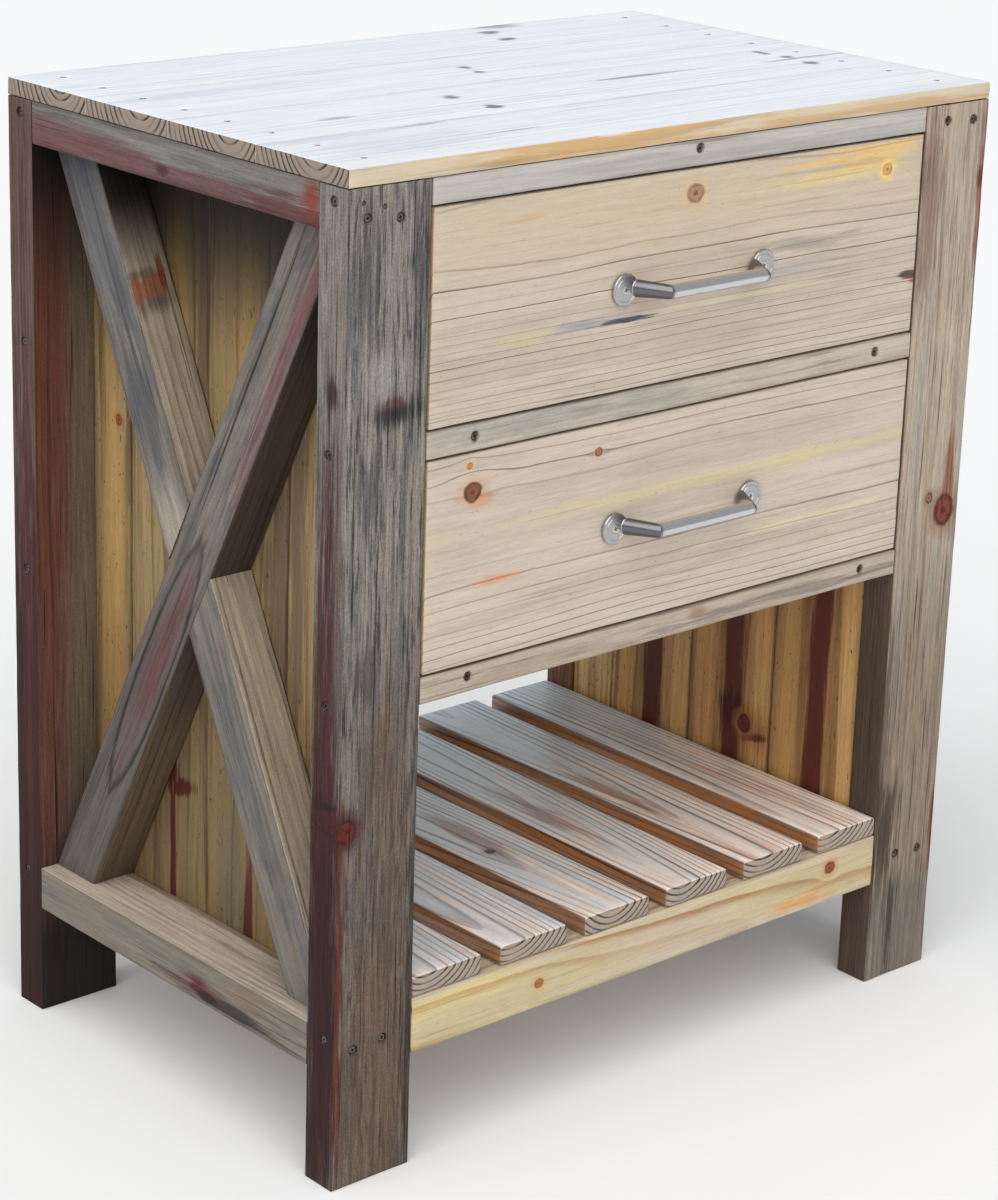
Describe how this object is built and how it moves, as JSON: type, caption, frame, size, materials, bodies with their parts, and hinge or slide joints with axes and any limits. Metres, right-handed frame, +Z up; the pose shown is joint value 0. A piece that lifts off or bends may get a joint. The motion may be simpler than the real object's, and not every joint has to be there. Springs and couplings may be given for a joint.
{
  "type": "bathroom vanity cabinet",
  "caption": "Free-standing rustic wooden bathroom vanity: inset drawers with bar pulls above an open slatted shelf, X-braced board sides and a plank top.",
  "frame": {"origin": "on the floor, at the middle of the whole object's outline, handles included", "axes": "+Z up; -Y out of the drawer fronts; +X to the right of someone who faces the drawers"},
  "size_m": [0.779, 0.5286, 0.914],
  "materials": {
    "top_wood": "whitewashed softwood planks",
    "leg_wood": "weathered grey-brown reclaimed softwood",
    "cross_rail_wood": "greyed pine",
    "shelf_rail_wood": "pale yellow knotty pine",
    "side_rail_wood": "weathered red cedar, grey-purple",
    "panel_wood": "ochre cedar with dark red heart stripes",
    "brace_wood": "weathered blue-grey softwood",
    "slat_wood": "pinkish-grey coarse-grained softwood",
    "drawer_front_wood": "pale cream pine with fine dark grain lines",
    "drawer_box_wood": "planed pine",
    "runner_wood": "planed pine",
    "plywood": "thin softwood plywood",
    "satin_steel": "satin brushed steel"
  },
  "bodies": {
    "frame": {"top_board_1": "top_wood", "top_board_2": "top_wood", "top_board_3": "top_wood", "top_board_4": "top_wood", "leg_front_left": "leg_wood", "leg_front_right": "leg_wood", "leg_back_left": "leg_wood", "leg_back_right": "leg_wood", "front_rail_top": "cross_rail_wood", "front_rail_middle": "cross_rail_wood", "front_rail_lower": "cross_rail_wood", "front_rail_shelf": "shelf_rail_wood", "back_rail_top": "cross_rail_wood", "back_rail_middle": "cross_rail_wood", "back_rail_lower": "cross_rail_wood", "back_rail_shelf": "shelf_rail_wood", "side_rail_top_left": "side_rail_wood", "side_rail_bottom_left": "side_rail_wood", "side_rail_top_right": "side_rail_wood", "side_rail_bottom_right": "side_rail_wood", "panel_left_1": "panel_wood", "panel_left_2": "panel_wood", "panel_left_3": "panel_wood", "panel_left_4": "panel_wood", "panel_right_1": "panel_wood", "panel_right_2": "panel_wood", "panel_right_3": "panel_wood", "panel_right_4": "panel_wood", "brace_long_left": "brace_wood", "brace_upper_left": "brace_wood", "brace_lower_left": "brace_wood", "brace_long_right": "brace_wood", "brace_upper_right": "brace_wood", "brace_lower_right": "brace_wood", "shelf_slat_1": "slat_wood", "shelf_slat_2": "slat_wood", "shelf_slat_3": "slat_wood", "shelf_slat_4": "slat_wood", "shelf_slat_5": "slat_wood", "shelf_slat_6": "slat_wood", "runner_upper_left": "runner_wood", "runner_upper_right": "runner_wood", "runner_lower_left": "runner_wood", "runner_lower_right": "runner_wood"},
    "drawer_upper": {"drawer_upper_front": "drawer_front_wood", "drawer_upper_side_left": "drawer_box_wood", "drawer_upper_side_right": "drawer_box_wood", "drawer_upper_back": "drawer_box_wood", "drawer_upper_bottom": "plywood", "handle_upper": "satin_steel", "handle_screw_upper_left": "satin_steel", "handle_screw_upper_right": "satin_steel"},
    "drawer_lower": {"drawer_lower_front": "drawer_front_wood", "drawer_lower_side_left": "drawer_box_wood", "drawer_lower_side_right": "drawer_box_wood", "drawer_lower_back": "drawer_box_wood", "drawer_lower_bottom": "plywood", "handle_lower": "satin_steel", "handle_screw_lower_left": "satin_steel", "handle_screw_lower_right": "satin_steel"}
  },
  "joints": [
    {"name": "drawer_upper_slide", "type": "slide", "parent": "frame", "child": "drawer_upper", "axis": [0, -1, 0], "range_m": [0, 0.32]},
    {"name": "drawer_lower_slide", "type": "slide", "parent": "frame", "child": "drawer_lower", "axis": [0, -1, 0], "range_m": [0, 0.32]}
  ]
}
